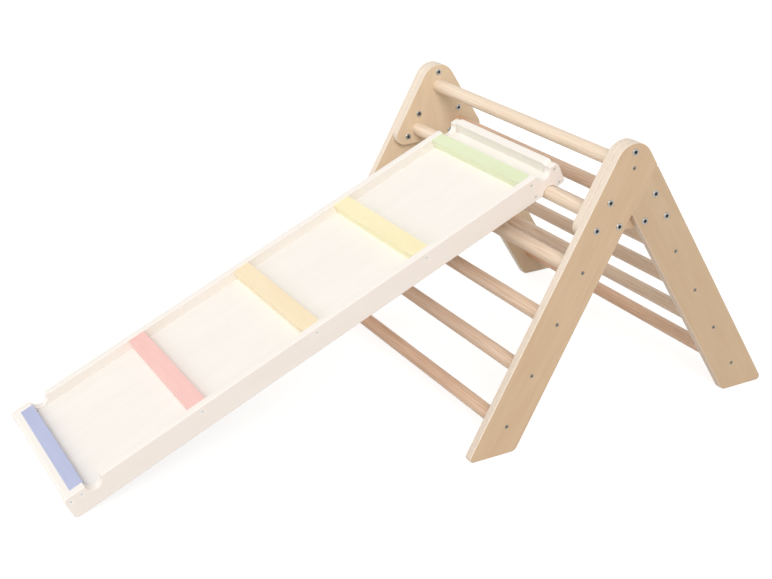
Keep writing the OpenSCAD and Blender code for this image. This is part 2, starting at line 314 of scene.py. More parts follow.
@dataclass(frozen=True)
class Board:
    """A flat board with rounded arrises, cut from an outline.

    The outer face lies at w = 0 and the inner one at w = thickness. The grain runs along
    the u axis of its own place, and its shift gives each board a figure of its own.
    """

    node: str
    outline: Outline
    thickness: float
    place: Place
    grain: Place
    shift: Point
    arris: float
    holes: Sequence[Hole] = ()

    def build(self) -> Piece:
        """Makes the board's mesh, with its grain stored on the points.

        Returns:
            The board, as a new object at the origin.
        """
        bm = bmesh.new()
        turns = [math.pi / 2 * k / ARRIS_STEPS for k in range(ARRIS_STEPS + 1)]
        rims = []
        for outer, order in ((True, turns), (False, turns[::-1])):
            for turn in order:
                ring = self.outline.ring(self.arris * (1 - math.sin(turn)))
                depth = self.arris * (1 - math.cos(turn))
                rims.append(self._loop(bm, [
                    (p, share * depth if outer else self.thickness - share * depth) for p, share in ring]))
        join_loops(bm, rims)
        mouths, exits = [rims[0]], [rims[-1]]
        for hole in self.holes:
            loops = []
            for radius, w in hole.levels(self.thickness):
                circle = on_circle(Vector(hole.centre), radius, 0, 2 * math.pi, HOLE_STEPS)[:-1]
                loops.append(self._loop(bm, [(p, w) for p in circle]))
            join_loops(bm, loops)
            mouths.append(loops[0])
            exits.append(loops[-1])
        fill_cap(bm, mouths)
        fill_cap(bm, exits)
        piece = finish_mesh(bm, f"{self.node}_board")
        store_grain(piece, self.grain, Vector((*self.shift, 0)))
        for name, axis in (("run", self.grain.u), ("across", self.grain.v)):
            store(piece, name, [axis] * len(piece.data.vertices))
        return piece

    def dressed(self, body: str, slot: Slot, material: Material) -> None:
        """Builds the board for its node, and gives it its body and finish."""
        dress(self.build(), body, self.node, material)

    def _loop(self, bm: Mesh, points: Iterable[tuple[Vector, float]]) -> Loop:
        """Adds a loop of points, each with its depth."""
        return [bm.verts.new(self.place.point(p.x, p.y, w)) for p, w in points]


def join_loops(bm: Mesh, loops: Sequence[Loop]) -> None:
    """Joins each loop to the next, of as many points, with a strip of faces.

    Args:
        bm: the mesh.
        loops: the loops, in order.
    """
    for low, high in zip(loops, loops[1:]):
        for i in range(len(low)):
            j = (i + 1) % len(low)
            bm.faces.new((low[i], low[j], high[j], high[i]))


def fill_cap(bm: Mesh, loops: Sequence[Loop]) -> None:
    """Fills a flat face.

    Args:
        bm: the mesh.
        loops: the face's rim, and then its holes.
    """
    edges = []
    for loop in loops:
        for i, v in enumerate(loop):
            other = loop[(i + 1) % len(loop)]
            edges.append(bm.edges.get((v, other)) or bm.edges.new((v, other)))
    bmesh.ops.triangle_fill(bm, use_beauty=True, use_dissolve=False, edges=edges)


def linked(name: str, data: bpy.types.ID) -> Piece:
    """Puts a new object in the scene.

    Args:
        name: its name.
        data: its mesh, lamp or camera.

    Returns:
        The object.
    """
    made = bpy.data.objects.new(name, data)
    bpy.context.scene.collection.objects.link(made)
    return made


def finish_mesh(bm: Mesh, name: str, sharp: float = 40.0) -> Piece:
    """Makes an object of a mesh, smooth but for the edges above an angle.

    Args:
        bm: the mesh; it is freed.
        name: the new object's name.
        sharp: the angle, in degrees.

    Returns:
        The object, linked to the scene.
    """
    bmesh.ops.recalc_face_normals(bm, faces=bm.faces)
    mesh = bpy.data.meshes.new(name)
    bm.to_mesh(mesh)
    bm.free()
    mesh.polygons.foreach_set("use_smooth", [True] * len(mesh.polygons))
    mesh.set_sharp_from_angle(angle=math.radians(sharp))
    piece = linked(name, mesh)
    normals = piece.modifiers.new("even_normals", "WEIGHTED_NORMAL")
    normals.mode = "FACE_AREA"
    normals.weight = 100
    normals.keep_sharp = True
    return piece


def store(piece: Piece, name: str, values: Sequence[Vector]) -> None:
    """Keeps one vector for each of a mesh's points."""
    made = piece.data.attributes.new(name, "FLOAT_VECTOR", "POINT")
    made.data.foreach_set("vector", [x for v in values for x in v])


def store_grain(piece: Piece, grain: Place, shift: Vector) -> None:
    """Keeps each point's place in the wood, whose axes start at a shift and have u along the grain."""
    points = [vertex.co / MM - grain.origin for vertex in piece.data.vertices]
    store(piece, "grain", [Vector((p.dot(grain.u), p.dot(grain.v), p.dot(grain.w))) + shift for p in points])


@dataclass(frozen=True)
class Ring:
    """One ring of a turned piece; shade is painted shade, 1 where it lies deep in a recess and is drawn dark.
    """

    radius: float
    height: float
    hexagonal: bool = False
    shade: float = 0.0


@dataclass(frozen=True)
class Turned:
    """A turned piece, which can have a hexagonal socket, as rings along its axis."""

    rings: tuple[Ring, ...]
    segments: int = 48

    def add_to(self, bm: Mesh, place: Place) -> list[Vector]:
        """Adds the piece to a mesh, with its axis along the place's w.

        Args:
            bm: the mesh.
            place: the piece's axes.

        Returns:
            The painted shade of each new point.
        """
        loops = []
        for ring in self.rings:
            loop = []
            for k in range(self.segments):
                angle = 2 * math.pi * k / self.segments
                r = ring.radius
                if ring.hexagonal:
                    r *= math.cos(math.pi / 6) / math.cos(angle % (math.pi / 3) - math.pi / 6)
                loop.append(bm.verts.new(place.point(r * math.cos(angle), r * math.sin(angle), ring.height)))
            loops.append(loop)
        join_loops(bm, loops)
        bm.faces.new(loops[0])
        bm.faces.new(loops[-1])
        return [Vector((ring.shade, 0, 0)) for ring in self.rings for _ in range(self.segments)]


def fastener_set(name: str, members: Iterable[tuple[Turned, Place]]) -> Piece:
    """Like fasteners as one piece, each turned to an angle of its own.

    Args:
        name: the piece's name.
        members: each one's form, and the place of its seat with w pointing out of the wood.

    Returns:
        The piece.
    """
    bm = bmesh.new()
    painted_shades: list[Vector] = []
    for index, (form, seat) in enumerate(members):
        painted_shades += form.add_to(bm, seat.turned(FASTENER_TURN * index + 0.3))
    piece = finish_mesh(bm, name, 30.0)
    # painted shade: darkens each fastener's socket and the rims round it
    store(piece, "shade", painted_shades)
    return piece


# ---- shaders ----

LACQUER = {"Coat Roughness": 0.25, "Specular IOR Level": 0.35}


class Value:
    """A number on a socket. Its operators add Math nodes."""

    def __init__(self, book: "Shader", socket: Socket) -> None:
        """Wraps an output socket of a shader's tree."""
        self.book = book
        self.socket = socket

    def math(self, operation: str, *others: "Value | float") -> "Value":
        """Adds one Math node, with its operation and further inputs."""
        inputs = dict(enumerate([self, *others]))
        return Value(self.book, self.book.node("ShaderNodeMath", {"operation": operation}, inputs).outputs[0])

    def __add__(self, other: "Value | float") -> "Value":
        """self + other."""
        return self.math("ADD", other)

    def __sub__(self, other: "Value | float") -> "Value":
        """self - other."""
        return self.math("SUBTRACT", other)

    def __rsub__(self, other: float) -> "Value":
        """other - self."""
        return self.book.number(other).math("SUBTRACT", self)

    def __mul__(self, other: "Value | float") -> "Value":
        """self times other."""
        return self.math("MULTIPLY", other)

    def __truediv__(self, other: "Value | float") -> "Value":
        """self over other."""
        return self.math("DIVIDE", other)

    def __rtruediv__(self, other: float) -> "Value":
        """other over self."""
        return self.book.number(other).math("DIVIDE", self)

    __radd__ = __add__
    __rmul__ = __mul__

    def above(self, low: float, high: float) -> "Value":
        """Tells where the number is high, with a smooth change.

        Args:
            low: where the result leaves 0.
            high: where it reaches 1.

        Returns:
            The result, from 0 to 1.
        """
        inputs = {"Value": self, "From Min": low, "From Max": high}
        node = self.book.node("ShaderNodeMapRange", {"interpolation_type": "SMOOTHSTEP"}, inputs)
        return Value(self.book, node.outputs["Result"])


class Shader:
    """A material, or a world, whose nodes are made through one method."""

    def __init__(self, holder: Material | bpy.types.World) -> None:
        """Empties a node tree.

        Args:
            holder: the material or world that has it.
        """
        holder.use_nodes = True
        self.holder = holder
        self.tree = holder.node_tree
        self.tree.nodes.clear()

    @classmethod
    def of_material(cls, name: str) -> "Shader":
        """A new material's shader."""
        return cls(bpy.data.materials.new(name))

    def node(self, kind: str, settings: Mapping[str, Any] | None = None,
             inputs: Mapping[str | int, Any] | None = None) -> bpy.types.Node:
        """Adds a node.

        Args:
            kind: the node's type.
            settings: its properties.
            inputs: numbers, colours, sockets or Values for its inputs, by name or number.

        Returns:
            The node.
        """
        made = self.tree.nodes.new(kind)
        for key, value in (settings or {}).items():
            setattr(made, key, value)
        for key, value in (inputs or {}).items():
            socket = made.inputs[key]
            if isinstance(value, (Value, Socket)):
                self.tree.links.new(value.socket if isinstance(value, Value) else value, socket)
            else:
                socket.default_value = (*value, 1.0) if socket.type == "RGBA" else value
        return made

    def number(self, value: float) -> Value:
        """Puts a plain number on a socket.

        Args:
            value: the number.

        Returns:
            The same as a Value.
        """
        made = self.node("ShaderNodeValue")
        made.outputs[0].default_value = value
        return Value(self, made.outputs[0])

    def stored(self, name: str) -> Socket:
        """A vector kept on the mesh."""
        return self.node("ShaderNodeAttribute", {"attribute_name": name}).outputs["Vector"]

    def split(self, vector: Socket) -> tuple[Value, ...]:
        """A vector's three numbers."""
        return tuple(Value(self, s) for s in self.node("ShaderNodeSeparateXYZ", None, {0: vector}).outputs)

    def noise(self, vector: Socket, scale: float, detail: float, roughness: float,
              distortion: float = 0.0) -> Value:
        """Adds soft noise.

        Args:
            vector: the place.
            scale: the noise's steps to a unit.
            detail: its finer layers.
            roughness: their weight.
            distortion: how far the place itself is moved.

        Returns:
            The noise, from 0 to 1 and about 0.5.
        """
        inputs = {"Vector": vector, "Scale": scale, "Detail": detail, "Roughness": roughness,
                  "Distortion": distortion}
        return Value(self, self.node("ShaderNodeTexNoise", {"noise_dimensions": "3D"}, inputs).outputs[0])

    def mixed(self, factor: Value | float, a: Socket | Colour, b: Socket | Colour) -> Socket:
        """Two colours mixed by a factor."""
        settings = {"data_type": "RGBA", "blend_type": "MIX", "clamp_factor": True}
        return self.node("ShaderNodeMix", settings, {0: factor, 6: a, 7: b}).outputs[2]

    def along(self, a: Socket, b: Socket) -> Value:
        """The size of two vectors' dot product."""
        made = self.node("ShaderNodeVectorMath", {"operation": "DOT_PRODUCT"}, {0: a, 1: b})
        return Value(self, made.outputs["Value"]).math("ABSOLUTE")

    def surface(self, inputs: Mapping[str, Any], height: Value, depth: float) -> Material:
        """Ends the material in one Principled shader.

        Args:
            inputs: its values and links.
            height: what raises the surface, from 0 to 1.
            depth: the height's size, in metres.

        Returns:
            The material.
        """
        bump = self.node("ShaderNodeBump", None, {"Strength": 1.0, "Distance": depth, "Height": height})
        shader = self.node("ShaderNodeBsdfPrincipled", None, {**inputs, "Normal": bump.outputs[0]})
        self.node("ShaderNodeOutputMaterial", None, {"Surface": shader.outputs[0]})
        return self.holder


@dataclass(frozen=True)
class Figure:
    """Noise drawn out along the wood: its steps to a millimetre on each axis, and its nature."""

    steps: Triple
    detail: float
    roughness: float
    distortion: float = 0.0
    offset: float = 0.0

    def on(self, place: Sequence[Value]) -> Value:
        """Adds the noise.

        Args:
            place: the place in the wood: along, across and deep.

        Returns:
            The noise there, from 0 to 1.
        """
        book = place[0].book
        x, y, z = (at * step for at, step in zip(place, self.steps))
        vector = book.node("ShaderNodeCombineXYZ", None, {0: x, 1: y, 2: z + self.offset}).outputs[0]
        return book.noise(vector, 1.0, self.detail, self.roughness, self.distortion)


@dataclass(frozen=True)
class PlyFinish:
    """Lacquered plywood: veneer on its faces and layers on its edges.

    The figure comes from the board's own grain, so it goes through the whole thickness.
    """

    name: str
    face_light: Colour
    face_dark: Colour
    edge_long: Colour
    edge_end: Colour
    glue: Colour
    fleck: Colour
    thickness: float = 18.0
    layers: int = 9
    roughness: float = 0.42
    coat: float = 0.12
    clouds: Figure = Figure((0.0035, 0.016, 3.3), 2.0, 0.5, 0.8)
    bands: Figure = Figure((0.010, 0.085, 5.7), 3.0, 0.55, 0.35)
    fibres: Figure = Figure((0.09, 1.7, 2.9), 2.0, 0.6)
    pores: Figure = Figure((0.16, 2.6, 9.1), 1.0, 0.5, offset=4.0)

    def faced(self, name: str, light: Colour, dark: Colour, **others: Any) -> "PlyFinish":
        """The same finish with other tones on its faces."""
        return replace(self, name=name, face_light=light, face_dark=dark, **others)

    def build(self) -> Material:
        """Makes the material.

        Returns:
            The material.
        """
        book = Shader.of_material(self.name)
        along, across, depth = book.split(book.stored("grain"))
        ply = self.thickness / self.layers
        inside = depth.math("MAXIMUM", 0.02).math("MINIMUM", self.thickness - 0.02)
        layer = (inside / ply).math("FLOOR")
        within = (inside / ply).math("FRACT")
        place = (along, across, layer)
        fibres, pores = self.fibres.on(place), self.pores.on(place)
        figure = self.clouds.on(place) * 0.45 + self.bands.on(place) * 0.35 + fibres * 0.20
        face = book.mixed(figure.above(0.36, 0.64), self.face_light, self.face_dark)
        edge = book.mixed(self._endness(book, layer.math("MODULO", 2.0)), self.edge_long, self.edge_end)
        edge = book.mixed(fibres.above(0.35, 0.75) * 0.35, edge, self.face_dark)
        rim = within.math("MINIMUM", 1.0 - within) * ply
        edge = book.mixed((1.0 - rim.above(0.05, 0.16)) * 0.6, edge, self.glue)
        wood = book.mixed(self._skin(inside), edge, face)
        wood = book.mixed(pores.above(0.66, 0.76) * 0.30, wood, self.fleck)
        roughness = fibres * 0.10 + (self.roughness - 0.05)
        return book.surface({"Base Color": wood, "Roughness": roughness, "Coat Weight": self.coat, **LACQUER},
                            fibres * 0.6 + pores * 0.4, 0.00006)

    def _endness(self, book: Shader, crossed: Value) -> Value:
        """How far a layer shows its end grain, from 0 to 1.

        Args:
            book: the material's shader.
            crossed: 1 for a layer whose grain runs across the board's.

        Returns:
            1 on end grain and 0 along the grain.
        """
        normal = book.node("ShaderNodeTexCoord").outputs["Normal"]
        with_run = book.along(normal, book.stored("run"))
        with_cross = book.along(normal, book.stored("across"))
        return with_run * (1.0 - crossed) + with_cross * crossed

    def _skin(self, inside: Value) -> Value:
        """1 on the two faces, and 0 where the arris cuts through the outer veneer."""
        return 1.0 - inside.math("MINIMUM", self.thickness - inside).above(0.10, 0.45)


@dataclass(frozen=True)
class RungFinish:
    """Round bars turned from one wood, from pale to brown, with growth lines along them; the brown is partly
    painted shade.
    """

    name: str
    pale: Colour
    pale_dark: Colour
    brown: Colour
    brown_dark: Colour
    line: Colour
    roughness: float = 0.45
    coat: float = 0.10
    ring_pitch: float = 3.1
    wander: Figure = Figure((0.004, 0.05, 0.05), 2.0, 0.5)
    waver: Figure = Figure((0.006, 0.24, 0.24), 1.0, 0.5)
    streaks: Figure = Figure((0.012, 0.42, 0.42), 3.0, 0.6)
    fibres: Figure = Figure((0.07, 2.0, 2.0), 2.0, 0.6)

    def build(self) -> Material:
        """Makes the material.

        Returns:
            The material.
        """
        book = Shader.of_material(self.name)
        place = book.split(book.stored("grain"))
        _, across, depth = place
        radius = (across * across + depth * depth).math("SQRT")
        radius = radius + self.wander.on(place) * 9.0 + self.waver.on(place) * 6.0
        rings = (radius * (2 * math.pi / self.ring_pitch)).math("SINE") * 0.5 + 0.5
        streaks, fibres = self.streaks.on(place), self.fibres.on(place)
        tone = (rings * 0.32 + streaks * 0.68).above(0.32, 0.70)
        # part wood tone and part painted shade: darker and more brown where the ramp shades the rung
        brownness_and_shade = book.split(book.stored("shade"))[0]
        light = book.mixed(brownness_and_shade, self.pale, self.brown)
        dark = book.mixed(brownness_and_shade, self.pale_dark, self.brown_dark)
        wood = book.mixed(tone, light, dark)
        wood = book.mixed(streaks.above(0.56, 0.72) * rings * (brownness_and_shade * 0.34 + 0.24), wood, self.line)
        wood = book.mixed(fibres.above(0.60, 0.78) * (brownness_and_shade * 0.30 + 0.12), wood, self.line)
        roughness = fibres * 0.12 + (self.roughness - 0.06)
        return book.surface({"Base Color": wood, "Roughness": roughness, "Coat Weight": self.coat, **LACQUER},
                            fibres * 0.5 + rings * 0.5, 0.00007)


@dataclass(frozen=True)
class ZincFinish:
    """Zinc plate with a cloudy tone and fine grit, and painted shade: its socket colour darkens key sockets
    and rims where shade falls.
    """

    name: str
    bright: Colour
    dull: Colour
    socket: Colour
    roughness: float
    metallic: float = 1.0
    cloud_scale: float = 420.0
    grit_scale: float = 2600.0

    def build(self) -> Material:
        """Makes the material.

        Returns:
            The material.
        """
        book = Shader.of_material(self.name)
        position = book.node("ShaderNodeTexCoord").outputs["Object"]
        cloud = book.noise(position, self.cloud_scale, 3.0, 0.6)
        grit = book.noise(position, self.grit_scale, 2.0, 0.5)
        tone = book.mixed(cloud.above(0.35, 0.70), self.bright, self.dull)
        # painted shade: the socket colour where the stored shade marks a recess
        tone = book.mixed(book.split(book.stored("shade"))[0], tone, self.socket)
        roughness = cloud * 0.14 + grit * 0.06 + (self.roughness - 0.10)
        return book.surface({"Base Color": tone, "Metallic": self.metallic, "Roughness": roughness},
                            grit, 0.00001)


STAINS = {
    Slot.BLUE: ((0.464, 0.507, 0.713), (0.421, 0.464, 0.670)),
    Slot.RED: ((0.900, 0.565, 0.522), (0.857, 0.517, 0.474)),
    Slot.ORANGE: ((0.919, 0.775, 0.541), (0.885, 0.732, 0.488)),
    Slot.YELLOW: ((0.924, 0.842, 0.545), (0.890, 0.804, 0.493)),
    Slot.GREEN: ((0.756, 0.823, 0.569), (0.713, 0.785, 0.517)),
}


class Finishes:
    """The finishes of all the pieces, made once each."""

    def __init__(self) -> None:
        """Makes every material."""
        # the edge colours are paler than the faces; part of that is painted light, standing for the strong
        # light on the front edges
        birch = PlyFinish(
            "birch_ply_lacquered", face_light=(0.688, 0.510, 0.337), face_dark=(0.640, 0.457, 0.292),
            edge_long=(0.835, 0.748, 0.644), edge_end=(0.783, 0.681, 0.568),
            glue=(0.615, 0.479, 0.362), fleck=(0.574, 0.383, 0.230))
        limed = PlyFinish(
            "ply_limed_18", face_light=(0.946, 0.879, 0.823), face_dark=(0.929, 0.856, 0.794),
            edge_long=(0.919, 0.880, 0.833), edge_end=(0.895, 0.847, 0.794),
            glue=(0.852, 0.794, 0.737), fleck=(0.852, 0.785, 0.718))
        # painted light: a lighter copy of the birch for the far side, whose inner faces catch more light
        painted_light_far_side = birch.faced("birch_ply_painted_light_far_side", (0.780, 0.618, 0.430), (0.739, 0.564, 0.380))
        # painted shade: a darker copy of the birch, with darker edges, for the near back leg in shade
        painted_shade_back_leg = birch.faced(
            "birch_ply_painted_shade_back_leg", (0.639, 0.479, 0.317), (0.596, 0.429, 0.274),
            edge_long=(0.786, 0.646, 0.520), edge_end=(0.736, 0.588, 0.459))
        # painted shade: a darker copy of the limed ply for the far rail, whose inner face takes strong light
        painted_shade_far_rail = limed.faced("ply_limed_18_painted_shade_far_rail", (0.818, 0.765, 0.701), (0.800, 0.740, 0.673))
        bar = limed.faced("ply_limed_bar", (0.900, 0.866, 0.818), (0.885, 0.842, 0.790))
        self.ply = {Side.RIGHT: birch.build(), Side.LEFT: painted_light_far_side.build()}
        self.back_leg_ply = painted_shade_back_leg.build()
        self.rail = {Side.RIGHT: limed.build(), Side.LEFT: painted_shade_far_rail.build()}
        self.limed_bar = bar.build()
        self.limed_thin = replace(bar, name="ply_limed_9", thickness=9.0, layers=5).build()
        self.stained = {slot: self._stained(slot, *tones) for slot, tones in STAINS.items()}
        self.rung = RungFinish(
            "rung_turned", pale=(0.857, 0.717, 0.574), pale_dark=(0.776, 0.615, 0.461),
            brown=(0.867, 0.548, 0.361), brown_dark=(0.637, 0.352, 0.204), line=(0.595, 0.363, 0.223)).build()
        # each zinc finish's third colour is its painted shade for sockets and rims
        self.bolt = ZincFinish(
            "zinc_bolts", (0.52, 0.52, 0.50), (0.35, 0.35, 0.335), (0.035, 0.034, 0.032), 0.26).build()
        self.screw = ZincFinish(
            "zinc_screws", (0.35, 0.325, 0.28), (0.25, 0.225, 0.19), (0.045, 0.038, 0.030), 0.34).build()
        self.ramp_screw = ZincFinish(
            "zinc_ramp_screws", (0.92, 0.91, 0.89), (0.82, 0.81, 0.79), (0.60, 0.58, 0.56), 0.50, 0.45).build()

    def _stained(self, slot: Slot, light: Colour, dark: Colour) -> Material:
        """A stained cleat's finish, whose edges are lighter than its face: painted light on the faces that
        turn towards the foot.
        """
        # painted light: the edges are drawn lighter than the stain on the face
        edge = tuple(min(0.96, level * 1.12 + 0.02) for level in light)
        return PlyFinish("ply_" + slot.value, light, dark, edge, light, dark, dark, thickness=19.0).build()


# ---- sub-assemblies ----


@dataclass(frozen=True)
class Connector:
    """A connector bolt and its sleeve nut, which have the same flat head."""

    head_r: float = 6.75
    head_h: float = 1.8
    key_r: float = 2.3
    key_d: float = 2.9
    bolt_r: float = 3.0
    bolt_length: float = 29.0
    sleeve_r: float = 4.5
    sleeve_length: float = 17.0

    def head(self) -> tuple[Ring, ...]:
        """The head: socket, rim round it, flat and rolled edge; the socket and a dish round it are darkened
        with painted shade.

        Returns:
            The rings, down to the seat at height 0.
        """
        # each ring's last number is painted shade: dark down the socket, fading over the flat round it
        r, h, k, floor = self.head_r, self.head_h, self.key_r, self.head_h - self.key_d
        return (
            Ring(k * 0.55, floor - 0.1, True, 0.35), Ring(k, floor, True, 0.9), Ring(k, h - 0.45, True, 1.0),
            Ring(k + 1.2, h - 0.08, False, 0.8), Ring(k + 1.5, h, False, 0.3),
            Ring(r - 1.3, h), Ring(r - 0.75, h - 0.12), Ring(r - 0.3, h - 0.42), Ring(r - 0.05, h - 0.9),
            Ring(r, h - 1.3), Ring(r - 0.1, 0.0),
        )

    def bolt(self) -> Turned:
        """The bolt, with the face that its head lies on at height 0."""
        r, end = self.bolt_r, -self.bolt_length
        return Turned((*self.head(), Ring(r, 0.0), Ring(r, end + 1.0), Ring(r - 0.7, end)))

    def nut(self) -> Turned:
        """The sleeve nut, hollow for the bolt.

        Returns:
            The nut, with the face that its head lies on at height 0.
        """
        r, inner, end = self.sleeve_r, self.bolt_r + PLAY, -self.sleeve_length
        return Turned((*self.head(), Ring(r, 0.0), Ring(r, end), Ring(inner, end),
                       Ring(inner, -4.0), Ring(0.4, -3.2)))


@dataclass(frozen=True)
class Screw:
    """A countersunk screw with a hexagonal socket, which bites into the wood behind a board."""

    head_r: float
    head_h: float
    bite: float
    shank_r: float = 2.0
    key_r: float = 1.5
    key_d: float = 1.5
    sunk: float = 0.25

    def holes(self, places: Iterable[Point]) -> list[Hole]:
        """The countersunk holes for such screws."""
        return [Hole(p, self.shank_r + PLAY, self.head_r + PLAY / 2, self.head_h) for p in places]

    def form(self, wood: float) -> Turned:
        """The screw: socket, rim round it, cone, shank and point; its socket and the edge of its head are
        darkened with painted shade.

        Args:
            wood: the thickness that it goes through before it bites.

        Returns:
            The screw, with the wood's face at height 0.
        """
        # the rings' last numbers are painted shade in the socket and round the rim of the head
        top, key, floor, end = -self.sunk, self.key_r, -self.sunk - self.key_d, -wood - self.bite
        return Turned((
            Ring(key * 0.5, floor - 0.1, True, 0.8), Ring(key, floor, True, 1.0),
            Ring(key, top - 0.2, True, 1.0), Ring(key + 0.25, top, False, 0.5), Ring(key + 0.4, top),
            Ring(self.head_r - 0.45, top), Ring(self.head_r - 0.22, top - 0.06, False, 0.6),
            Ring(self.head_r - 0.28, top - 0.25, False, 0.8), Ring(self.shank_r, -self.head_h - 0.1),
            Ring(self.shank_r, end + 5), Ring(0.4, end + 1),
        ), 36)


@dataclass(frozen=True)
class SidePanel:
    """One A-shaped side: two legs that butt at the head, the gusset behind them, and its fasteners."""

    side: Side
    shift: float
    half_width: float = 375.0
    leg_t: float = 18.0
    gusset_t: float = 18.0
    leg_w: float = 90.0
    lean: float = 30.4
    top_rung_z: float = 514.5
    head_r: float = 42.0
    toe_r: float = 8.0
    heel_r: float = 16.0
    shoulder_r: float = 4.0
    seam_gap: float = 0.4
    seam_share: float = 0.05
    gusset_drop: float = 124.5
    gusset_r: float = 21.5
    arris: float = 2.2
    pitch: float = 106.2
    head_bolt_inset: float = 17.3
    leg_bolts: tuple[Point, ...] = ((75.6, 15.0), (132.0, 15.0), (107.2, -29.0))  # down and outwards
    connector: Connector = Connector()
    screw: Screw = Screw(4.5, 2.6, 32.0)
    leg_shift: Point = (310.0, 95.0)

    @property
    def half(self) -> float:
        """Half the leg's width."""
        return self.leg_w / 2

    @property
    def side_t(self) -> float:
        """The thickness of leg and gusset together."""
        return self.leg_t + self.gusset_t

    @property
    def slope(self) -> Point:
        """The sine and cosine of the lean."""
        return math.sin(math.radians(self.lean)), math.cos(math.radians(self.lean))

    def on_leg(self, down: float, out: float = 0.0) -> Point:
        """A point on the front leg, a distance down from the top rung and one outwards."""
        s, c = self.slope
        return (-down * s - out * c, self.top_rung_z - down * c + out * s)

    def crossing(self, a: float, b: float) -> Point:
        """Where the front leg's line, moved a inwards, meets the back leg's, moved b outwards."""
        s, c = self.slope
        return ((a + b) / (2 * c), self.top_rung_z + (b - a) / (2 * s))

    def at_height(self, z: float, out: float) -> Point:
        """Where the front leg's line, moved outwards, stands at a height."""
        s, c = self.slope
        return ((z - self.top_rung_z) * s / c - out / c, z)

    def bolts(self) -> list[Point]:
        """The seven connector bolts: the head's, the front leg's and the back leg's.

        Returns:
            Their places, as x and height.
        """
        front = [self.on_leg(*at) for at in self.leg_bolts]
        head_top = self.crossing(self.head_r - self.half, self.half - self.head_r)[1] + self.head_r
        return [(0.0, head_top - self.head_bolt_inset), *front, *mirrored(front)]

    def leg_rungs(self) -> list[Point]:
        """The places of the four rungs of a front leg, from the top."""
        return [self.on_leg((i + 2) * self.pitch) for i in range(4)]

    def gusset_rungs(self) -> list[Point]:
        """The places of the two rungs between the gussets, front and back."""
        front = self.on_leg(self.pitch)
        return [front, *mirrored([front])]

    def place(self, inwards: float = 0.0) -> Place:
        """The panel's axes: x, height and depth from a plane inside its outer face."""
        sign = self.side.value
        return Place(Vector((self.shift, sign * (self.half_width - inwards), 0)), X, Z, -sign * Y)

    def leg_board(self, leg: Leg) -> Board:
        """One leg, drilled for its rungs' screws and its bolts.

        Args:
            leg: which of the two; the front one has the round head.

        Returns:
            The leg.
        """
        toe, heel = self.at_height(0, self.half), self.at_height(0, -self.half)
        screws, bolts = self.leg_rungs(), self.bolts()
        if leg is Leg.FRONT:
            crotch = Vector(self.crossing(self.half, -self.half))
            along = Vector(self.on_leg(-1)) - Vector(self.on_leg(0))
            corners = [toe, heel, crotch - along, crotch + along, self.crossing(self.half, self.half),
                       self.crossing(-self.half, self.half)]
            radii = [self.toe_r, self.heel_r, 0.0, 0.0, self.shoulder_r, self.head_r]
            screws, bolts = [self.on_leg(0), *screws], bolts[:4]
        else:
            seam = self.half + self.seam_gap
            corners = [*mirrored([heel, toe]), self.crossing(seam, self.half), self.crossing(seam, -self.half)]
            radii = [self.heel_r, self.toe_r, self.shoulder_r, 0.0]
            screws, bolts = mirrored(screws), bolts[4:]
        angle = math.radians(90 + leg.value * self.lean)
        index = (leg is Leg.BACK) * 2 + (self.side is Side.LEFT)
        return Board(
            f"{leg.word}_leg_{self.side.word}", Outline(corners, radii, share=self._arris_share),
            self.leg_t, self.place(), self.place().turned(angle),
            (self.leg_shift[0] * index, self.leg_shift[1] * index), self.arris,
            self.screw.holes(screws) + [Hole(p, self.connector.bolt_r + PLAY) for p in bolts])

    def _arris_share(self, p: Vector) -> float:
        """How much of the arris a point has: little along the seam, all where the shoulder has turned.

        Args:
            p: the point, as x and height.

        Returns:
            The share, from 0 to 1.
        """
        if p.y <= self.crossing(self.half, -self.half)[1]:
            return 1.0
        s, c = self.slope
        across = p.x * c - (p.y - self.top_rung_z) * s
        away = max(0.0, abs(across - self.half) - self.seam_gap) / (self.shoulder_r / 2)
        return min(1.0, self.seam_share + (1 - self.seam_share) * away)

    def gusset_board(self) -> Board:
        """The rounded triangle inside the legs.

        Returns:
            The gusset.
        """
        foot = self.at_height(self.top_rung_z - self.gusset_drop, self.half)
        place = self.place(self.leg_t)
        return Board(
            f"gusset_{self.side.word}",
            Outline([foot, *mirrored([foot]), self.crossing(-self.half, self.half)],
                    [self.gusset_r, self.gusset_r, self.head_r]),
            self.gusset_t, place, place.turned(math.radians(90)), (50.0, 700.0 + 90.0 * self.side.value),
            self.arris,
            [Hole(p, self.connector.sleeve_r + PLAY) for p in self.bolts()]
            + [Hole(self.on_leg(0), self.screw.shank_r + PLAY)] + self.screw.holes(self.gusset_rungs()))

    def build(self, finishes: Finishes) -> None:
        """Builds and dresses all the pieces of the side.

        Args:
            finishes: the materials.
        """
        ply = finishes.ply[self.side]
        for leg in Leg:
            # painted shade: the near back leg takes the darker copy of the birch
            painted_shade_back_leg = leg is Leg.BACK and self.side is Side.RIGHT
            self.leg_board(leg).dressed("frame", Slot.PLY, finishes.back_leg_ply if painted_shade_back_leg else ply)
        self.gusset_board().dressed("frame", Slot.PLY, ply)
        long_screw, short_screw = self.screw.form(self.side_t), self.screw.form(self.leg_t)
        bolt, nut = self.connector.bolt(), self.connector.nut()
        outer, middle, inner = self.place(), self.place(self.leg_t), self.place(self.side_t)
        rungs = self.leg_rungs()
        sets = [
            ("connector_bolts", finishes.bolt, [(bolt, outer.seat(p)) for p in self.bolts()]),
            ("sleeve_nuts", finishes.bolt, [(nut, inner.seat(p, False)) for p in self.bolts()]),
            ("rung_screws", finishes.screw,
             [(long_screw, outer.seat(self.on_leg(0)))]
             + [(short_screw, outer.seat(p)) for p in [*rungs, *mirrored(rungs)]]),
            ("gusset_screws", finishes.screw, [(short_screw, middle.seat(p)) for p in self.gusset_rungs()]),
        ]
        for name, material, members in sets:
            node = f"{name}_{self.side.word}"
            dress(fastener_set(f"{node}_set", members), "frame", node, material)


